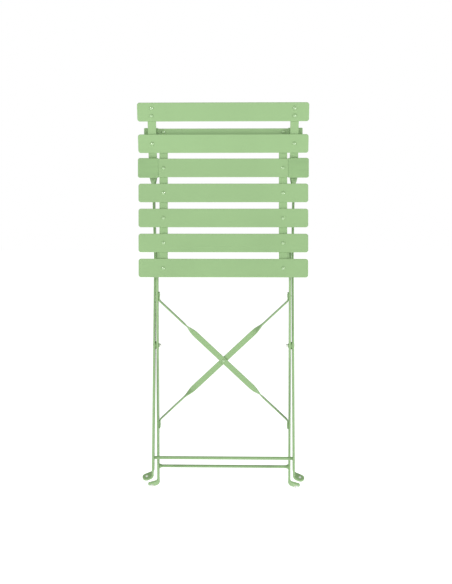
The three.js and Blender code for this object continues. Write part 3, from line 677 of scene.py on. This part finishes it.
def rounded_outline(width, height, radii, inset, steps=8):
    """A rounded rectangle in X and Z, counter-clockwise from the low right corner, drawn in by inset."""
    points = []
    corners = ((1, -1, -90), (1, 1, 0), (-1, 1, 90), (-1, -1, 180))
    for (sx, sz, start), radius in zip(corners, radii):
        r = max(radius - inset, LEAST_CORNER)
        cx = sx * (width / 2 - inset - r)
        cz = sz * (height / 2 - inset - r)
        for i in range(steps + 1):
            angle = math.radians(start + 90 * i / steps)
            points.append((cx + r * math.cos(angle), cz + r * math.sin(angle)))
    return points


def plate_rings(outline, thickness, edge, steps=4):
    """A plate whose outline(inset) lies in X and Z, from y = 0 forwards to -thickness, edges rolled."""
    angles = [math.pi / 2 * i / steps for i in range(steps + 1)]
    profile = [(edge * (1 - math.sin(a)), -edge * (1 - math.cos(a))) for a in angles]
    front = [(inset, -thickness - y) for inset, y in reversed(profile)]
    vertices = []
    for inset, y in profile + front:
        vertices += [Vector((x, y, z)) for x, z in outline(inset)]
    count = len(outline(0))
    return vertices, ring_faces(2 * len(profile), count)


def slat(name, node, length, width, corner, place, body):
    outline = lambda inset: rounded_outline(length, width, (corner,) * 4, inset)
    vertices, faces = plate_rings(outline, SLAT_THICKNESS, BAR_EDGE)
    make_object(name, vertices, faces, place, body, [node], PAINT)


def lug_outline():
    """The lug seen along X: points (y, z) from the rail back round the seat pin."""
    face = SLAT_BACK_Y + GAP
    back = face + BAR_THICKNESS
    points = [(face, LUG_TOP), (face, LUG_BOTTOM), (back, LUG_BOTTOM)]
    for i in range(LUG_STEPS + 1):
        angle = math.pi * LUG_WRAP * (2 * i / LUG_STEPS - 1)
        points.append((LUG_RADIUS * math.cos(angle), LUG_RADIUS * math.sin(angle)))
    points.append((back, LUG_TOP))
    return points


def lug_rings(side):
    """The lug as rings across X, its outline drawn in at both faces."""
    outline = lug_outline()
    centre = Vector((sum(y for y, _ in outline), sum(z for _, z in outline))) / len(outline)
    outer = RAIL_X + BAR_WIDTH / 2 + LUG_THICKNESS
    inner = outer - LUG_THICKNESS - LUG_BITE
    edge = LUG_EDGE
    part = 0.3 * edge
    steps = [(edge, inner), (part, inner + part), (0, inner + edge),
             (0, outer - edge), (part, outer - part), (edge, outer)]
    vertices = []
    for inset, x in steps:
        for y, z in outline:
            arm = Vector((y, z)) - centre
            pulled = centre + arm * (1 - inset / max(arm.length, LEAST_ARM))
            vertices.append(Vector((side * x, pulled.x, pulled.y)))
    faces = ring_faces(len(steps), len(outline))
    return vertices, [tuple(reversed(f)) for f in faces] if side > 0 else faces


def seat_rail(label, side):
    """A rail and the lug welded beside it, in one piece."""
    low = FRONT_SLAT - RAIL_OVERHANG
    high = REAR_BAR_AT + REAR_BAR_WIDTH / 2 - RAIL_SHORTFALL
    outline = lambda inset: rounded_outline(BAR_WIDTH, high - low, (RAIL_CORNER,) * 4, inset)
    vertices, faces = plate_rings(outline, BAR_THICKNESS, BAR_EDGE)
    shift = Vector((side * RAIL_X, SLAT_BACK_Y + GAP + BAR_THICKNESS, (low + high) / 2))
    vertices = [v + shift for v in vertices]
    lug_vertices, lug_faces = lug_rings(side)
    start = len(vertices)
    faces += [tuple(start + i for i in face) for face in lug_faces]
    make_object(f"seat_rail_{label}_painted", vertices + lug_vertices, faces, SEAT, "seat",
                [f"seat_rail_{label}"], PAINT)


def sleeve(kind, label, side, reach, width, corner, height):
    """A moulded cap over a slat's end, with a raised lip round its mouth."""
    grow = SLEEVE_WALL + GAP
    length = reach + grow - SLEEVE_INNER_X
    tall = width + 2 * grow
    thick = SLAT_THICKNESS + 2 * grow
    mouth = SLEEVE_MOUTH_CORNER
    radii = (corner, corner, mouth, mouth) if side > 0 else (mouth, mouth, corner, corner)
    outline = lambda inset: rounded_outline(length, tall, radii, inset)
    vertices, faces = plate_rings(outline, thick, SLEEVE_EDGE, 5)
    for v in vertices:
        from_mouth = v.x * side + length / 2
        from_middle = v.y + thick / 2
        if from_mouth < SLEEVE_LIP and abs(from_middle) > thick / 2 - SLEEVE_LIP_MARGIN:
            v.y += math.copysign(SLEEVE_LIP_RAISE, from_middle)
    centre = Vector((side * (SLEEVE_INNER_X + length / 2), SLAT_BACK_Y + grow, height))
    make_object(f"{kind}_sleeve_{label}_cap", [v + centre for v in vertices], faces, SEAT, "seat",
                [f"{kind}_sleeve_{label}"], SLEEVE)


# ---- Turned pieces -----------------------------------------------------------

def turned(profile, start, axis, count=32):
    """Rings of a profile of (radius, distance along axis), closed at both ends."""
    axis = axis.normalized()
    side = axis.orthogonal().normalized()
    other = axis.cross(side)
    vertices = []
    for radius, along in profile:
        for i in range(count):
            angle = 2 * math.pi * i / count
            spoke = side * math.cos(angle) + other * math.sin(angle)
            vertices.append(start + axis * along + spoke * max(radius, LEAST_TURNED_RADIUS))
    faces = ring_faces(len(profile), count)
    return vertices, faces


def dome(radius, height, base, outwards, steps=10):
    """A spherical cap from its tip to its rim, then a short upright rim down to the base."""
    crown = height - HEAD_RIM
    ball = (radius ** 2 + crown ** 2) / (2 * crown)
    reach = math.asin(min(1, radius / ball))
    points = []
    for i in range(steps + 1):
        angle = reach * i / steps
        drop = ball * (1 - math.cos(angle))
        points.append((ball * math.sin(angle), base + outwards * (height - drop)))
    return points


def rivet(name, node, place, start, axis, radius, head, height, grip, body):
    """Domed head before the start, a shank through the grip and a formed head after it."""
    front = dome(head, height, -TOUCH, -1)
    front.append((head, 0))
    back = [
        (head * 0.83, grip),
        (head * 0.88, grip + 0.3 * MM),
        (head * 0.8, grip + height * 0.5),
        (head * 0.55, grip + height * 0.72),
        (head * 0.3, grip + height * 0.74),
        (0, grip + height * 0.6),
    ]
    profile = front + [(radius, 0), (radius, grip)] + back
    vertices, faces = turned(profile, start, axis)
    make_object(name, vertices, faces, place, body, [node], RIVET_PAINT)


def back_rivets():
    names = ("top", "mid", "low")
    heights = (UPPER_SLAT_UP + UPPER_RIVET_OFFSET, UPPER_SLAT_UP - UPPER_RIVET_OFFSET, LOWER_SLAT_UP)
    start = -(BAR_THICKNESS / 2 + GAP + SLAT_THICKNESS)
    grip = BAR_THICKNESS + GAP + SLAT_THICKNESS
    for label, side in SIDES:
        for name, height in zip(names, heights):
            node = f"back_rivet_{label}_{name}"
            rivet(f"{node}_head", node, BACK_REST, Vector((side * BACK_X, start, height)), Y_AXIS,
                  RIVET_RADIUS, RIVET_HEAD_RADIUS, RIVET_HEAD_HEIGHT, grip, "back_frame")


def seat_rivets():
    grip = SLAT_THICKNESS + GAP + BAR_THICKNESS
    heights = [FRONT_SLAT + i * SLAT_PITCH for i in range(5)] + [REAR_BAR_AT]
    for label, side in SIDES:
        for i, height in enumerate(heights):
            node = f"seat_rivet_{label}_{i + 1}"
            start = Vector((side * RAIL_X, SLAT_BACK_Y - SLAT_THICKNESS, height))
            rivet(f"{node}_head", node, SEAT, start, Y_AXIS,
                  RIVET_RADIUS, RIVET_HEAD_RADIUS, RIVET_HEAD_HEIGHT, grip, "seat")


def brace_rivets():
    layers = 2 * STRAP_THICKNESS + GAP
    centre = Vector((0, -layers / 2, (STRAP_TOP_UP - STRAP_BOTTOM_DOWN) / 2))
    rivet("brace_rivet_centre_head", "brace_rivet_centre", REAR, centre, Y_AXIS,
          RIVET_RADIUS, RIVET_HEAD_RADIUS, RIVET_HEAD_HEIGHT, layers, "rear_legs")
    inner = REAR_X - BAR_THICKNESS / 2 - GAP - STRAP_THICKNESS
    grip = BAR_THICKNESS + GAP + STRAP_THICKNESS
    inset = STRAP_TAB / 2 - STRAP_RIVET_INSET
    heights = (STRAP_TOP_UP - inset, inset - STRAP_BOTTOM_DOWN)
    for label, side in SIDES:
        for name, height in zip(("top", "low"), heights):
            node = f"brace_rivet_{label}_{name}"
            rivet(f"{node}_head", node, REAR, Vector((side * inner, 0, height)), X_AXIS * side,
                  RIVET_RADIUS, RIVET_HEAD_RADIUS, LOW_HEAD_HEIGHT, grip, "rear_legs")


def scissor_pin(label, side):
    """Zinc pin: low head outside the back bar, shank, and a bare tail standing out inside the rear leg."""
    outer = BACK_X + BAR_THICKNESS / 2
    grip = outer - (REAR_X - BAR_THICKNESS / 2)
    start = Vector((side * outer, 0, 0))
    tail = grip + GAP + SCISSOR_TAIL
    profile = dome(SCISSOR_HEAD_RADIUS, SCISSOR_HEAD_HEIGHT, -TOUCH, -1)
    profile += [
        (SCISSOR_HEAD_RADIUS, 0),
        (SCISSOR_RADIUS, 0),
        (SCISSOR_RADIUS, grip + 0.2 * MM),
        (SCISSOR_TAIL_RADIUS, grip + 0.2 * MM),
        (SCISSOR_TAIL_RADIUS, tail - 1.6 * MM),
        (SCISSOR_TAIL_RADIUS * 1.05, tail - 1.1 * MM),
        (SCISSOR_TAIL_RADIUS * 1.02, tail - 0.6 * MM),
        (SCISSOR_TAIL_RADIUS * 0.85, tail - 0.15 * MM),
        (SCISSOR_TAIL_RADIUS * 0.6, tail),
        (SCISSOR_TAIL_RADIUS * 0.35, tail - 0.1 * MM),
        (0, tail - 0.5 * MM),
    ]
    vertices, faces = turned(profile, start, X_AXIS * -side)
    make_object(f"scissor_rivet_{label}_turned", vertices, faces, BACK, "back_frame",
                [f"scissor_rivet_{label}"], ZINC)
    ring(f"scissor_washer_{label}_ring", start, -side, grip + TOUCH, SCISSOR_WASHER,
         SCISSOR_TAIL_RADIUS + TOUCH, SCISSOR_WASHER_RADIUS, [])


def ring(name, start, direction, offset, length, inner, outer, nodes):
    """A painted ring with broken edges, on the scissor axis."""
    edge = RING_EDGE
    profile = [
        (inner, offset),
        (outer - edge, offset),
        (outer, offset + edge),
        (outer, offset + length - edge),
        (outer - edge, offset + length),
        (inner, offset + length),
    ]
    count = 36
    vertices, faces = turned(profile, start, X_AXIS * direction, count)
    faces = faces[:-2]
    last = (len(profile) - 1) * count
    faces += [(last + i, last + (i + 1) % count, (i + 1) % count, i) for i in range(count)]
    make_object(name, vertices, faces, BACK, "back_frame", nodes, PAINT)


def pivots():
    spacer_from = BACK_X - BAR_THICKNESS / 2 - TOUCH
    spacer_to = REAR_X + BAR_THICKNESS / 2 + GAP
    pin_outer = REAR_X + BAR_THICKNESS / 2
    pin_grip = pin_outer - (RAIL_X + BAR_WIDTH / 2 - SEAT_PIN_BITE)
    for label, side in SIDES:
        scissor_pin(label, side)
        ring(f"scissor_spacer_{label}_ring", Vector((side * spacer_from, 0, 0)), -side, 0,
             spacer_from - spacer_to, SCISSOR_RADIUS + SPACER_CLEARANCE, SPACER_RADIUS,
             [f"scissor_spacer_{label}"])
        start = REAR.inverted() @ (SEAT_PIVOT + X_AXIS * (side * pin_outer))
        rivet(f"seat_pin_{label}_turned", f"seat_pin_{label}", REAR, start, X_AXIS * -side,
              SEAT_PIN_RADIUS, SEAT_PIN_HEAD_RADIUS, SEAT_PIN_HEAD_HEIGHT, pin_grip, "rear_legs")


def stretcher(name, node, half, radius, weld, weld_length, down, place, body):
    """Round rod flaring into a lumpy weld at each end."""
    count = 28
    runs = [weld_length * share for share in (0, 0.08, 0.18, 0.3, 0.44, 0.6, 0.8, 1)]
    inner = half - weld_length - WELD_RUN_OUT
    along = [-half + s for s in runs] + spaced(-inner, inner, 8) + [inner]
    along += [half - s for s in reversed(runs)]
    vertices = []
    for x in along:
        near = max(0, 1 - (half - abs(x)) / weld_length)
        for i in range(count):
            angle = 2 * math.pi * i / count
            wave = math.sin(WELD_LUMPS_AROUND * angle + x * WELD_LUMPS_ALONG)
            lump = 1 - WELD_LUMP * near * (1 + wave)
            r = (radius + (weld - radius) * near ** WELD_FLARE) * lump
            vertices.append(Vector((x, r * math.cos(angle), r * math.sin(angle) - down)))
    make_object(name, vertices, ring_faces(len(along), count), place, body, [node], PAINT)


def glide(prefix, label, fold, tab, place, body):
    """Moulded glide: dome with a flat wear spot, collar, pin and the button that holds it in the tab."""
    half = BAR_THICKNESS / 2
    profile = [(0, -half - GLIDE_HEIGHT), (GLIDE_RADIUS * GLIDE_FLAT, -half - GLIDE_HEIGHT)]
    for i in range(1, GLIDE_STEPS + 1):
        angle = math.pi / 2 * i / GLIDE_STEPS
        radius = GLIDE_RADIUS * (GLIDE_FLAT + (1 - GLIDE_FLAT) * math.sin(angle))
        profile.append((radius, -half - GLIDE_COLLAR - (GLIDE_HEIGHT - GLIDE_COLLAR) * math.cos(angle)))
    profile += [
        (GLIDE_RADIUS, -half - 0.1 * MM),
        (GLIDE_PIN_RADIUS, -half),
        (GLIDE_PIN_RADIUS, half),
        (GLIDE_PIN_RADIUS + GLIDE_BUTTON_FLARE, half),
        (GLIDE_PIN_RADIUS + 0.8 * MM, half + 0.5 * MM),
        (GLIDE_PIN_RADIUS * 0.7, half + 1.1 * MM),
        (0, half + GLIDE_BUTTON_HEIGHT),
    ]
    vertices, faces = turned(profile, fold.glide(tab), -fold.below)
    node = f"{prefix}_glide_{label}"
    make_object(f"{node}_nylon", vertices, faces, place, body, [node], GLIDE)


# ---- The chair ---------------------------------------------------------------

def build_back_frame():
    for label, side in SIDES:
        glide("front", label, back_bar(label, side), FRONT_TAB, BACK, "back_frame")
    face = -BAR_THICKNESS / 2 - BACK_SLAT_STANDOFF
    for name, height in (("upper", UPPER_SLAT_UP), ("lower", LOWER_SLAT_UP)):
        slat(f"back_slat_{name}_painted", f"back_slat_{name}", SLAT_LENGTH, SLAT_WIDTH, SLAT_CORNER,
             BACK_REST @ Matrix.Translation((0, face, height)), "back_frame")
    back_rivets()
    stretcher("front_stretcher_painted", "front_stretcher", BACK_X - BAR_THICKNESS / 2,
              FRONT_STRETCHER_RADIUS, FRONT_STRETCHER_RADIUS, FRONT_WELD_LENGTH, BACK_STRETCHER_DOWN,
              BACK, "back_frame")


def build_rear_legs():
    for label, side in SIDES:
        glide("rear", label, rear_leg(label, side), REAR_TAB, REAR, "rear_legs")
        brace_strap(label, side)
    brace_rivets()
    stretcher("rear_stretcher_painted", "rear_stretcher", REAR_X - BAR_THICKNESS / 2,
              REAR_STRETCHER_RADIUS, WELD_RADIUS, WELD_LENGTH, REAR_STRETCHER_DOWN, REAR, "rear_legs")


def build_seat():
    names = ("front", "second", "middle", "fourth", "rear")
    for i, name in enumerate(names):
        place = SEAT @ Matrix.Translation((0, SLAT_BACK_Y, FRONT_SLAT + i * SLAT_PITCH))
        slat(f"seat_slat_{name}_painted", f"seat_slat_{name}", SLAT_LENGTH, SLAT_WIDTH, SLAT_CORNER,
             place, "seat")
    place = SEAT @ Matrix.Translation((0, SLAT_BACK_Y, REAR_BAR_AT))
    slat("seat_rear_bar_painted", "seat_rear_bar", REAR_BAR_LENGTH, REAR_BAR_WIDTH, REAR_BAR_CORNER,
         place, "seat")
    rear_slat = FRONT_SLAT + 4 * SLAT_PITCH
    for label, side in SIDES:
        seat_rail(label, side)
        sleeve("slat", label, side, SLAT_LENGTH / 2, SLAT_WIDTH, SLAT_SLEEVE_CORNER, rear_slat)
        sleeve("bar", label, side, REAR_BAR_LENGTH / 2, REAR_BAR_WIDTH, BAR_SLEEVE_CORNER, REAR_BAR_AT)
    seat_rivets()


build_back_frame()
build_rear_legs()
build_seat()
pivots()


# ---- Studio ------------------------------------------------------------------

def area_light(name, place, target, size, energy):
    data = bpy.data.lights.new(name, "AREA")
    data.shape = "RECTANGLE"
    data.size, data.size_y = size
    data.energy = energy
    light = bpy.data.objects.new(name, data)
    light.location = place
    light.rotation_euler = (Vector(target) - Vector(place)).to_track_quat("-Z", "Y").to_euler()
    bpy.context.collection.objects.link(light)


def studio():
    """Evenly white surround over a white floor, with a small bright soft box at each side."""
    world = bpy.data.worlds.new("studio")
    bpy.context.scene.world = world
    world.use_nodes = True
    background = world.node_tree.nodes["Background"]
    background.inputs["Color"].default_value = (1, 1, 1, 1)
    nodes, links = world.node_tree.nodes, world.node_tree.links
    rays = nodes.new("ShaderNodeLightPath")
    level = nodes.new("ShaderNodeMapRange")
    level.inputs["To Min"].default_value = SURROUND_LIGHTING
    level.inputs["To Max"].default_value = SURROUND_SEEN
    links.new(rays.outputs["Is Camera Ray"], level.inputs["Value"])
    links.new(level.outputs["Result"], background.inputs["Strength"])
    middle = (cad_bounds[0] + cad_bounds[1]) / 2
    x, y, z = SOFT_BOX_AT
    for label, side in SIDES:
        area_light(f"soft_box_{label}", (side * x, y, z), middle, SOFT_BOX_SIZE, SOFT_BOX_WATTS)
    area_light("front_panel", PANEL_AT, middle, PANEL_SIZE, PANEL_WATTS)
    floor_material, _, _, shader = new_material("floor")
    shader.inputs["Base Color"].default_value = (0.9, 0.9, 0.9, 1)
    shader.inputs["Roughness"].default_value = 0.9
    shader.inputs["Emission Color"].default_value = (1, 1, 1, 1)
    shader.inputs["Emission Strength"].default_value = FLOOR_GLOW
    mesh = bpy.data.meshes.new("floor")
    half = FLOOR_HALF
    corners = [(-half, -half, 0), (half, -half, 0), (half, half, 0), (-half, half, 0)]
    mesh.from_pydata(corners, [], [(0, 1, 2, 3)])
    mesh.materials.append(floor_material)
    floor = bpy.data.objects.new("floor", mesh)
    floor.location.z = cad_bounds[0].z
    bpy.context.collection.objects.link(floor)


def camera():
    data = bpy.data.cameras.new("camera")
    data.sensor_width = CAMERA_SENSOR
    data.sensor_fit = "AUTO"
    data.lens = CAMERA_LENS
    data.shift_y = CAMERA_SHIFT
    cam = bpy.data.objects.new("camera", data)
    cam.location = CAMERA_AT
    cam.rotation_euler = (math.radians(90 - CAMERA_DOWN), 0, math.radians(CAMERA_LEFT))
    bpy.context.collection.objects.link(cam)
    bpy.context.scene.camera = cam


studio()
camera()
bpy.context.scene.view_settings.view_transform = "Standard"
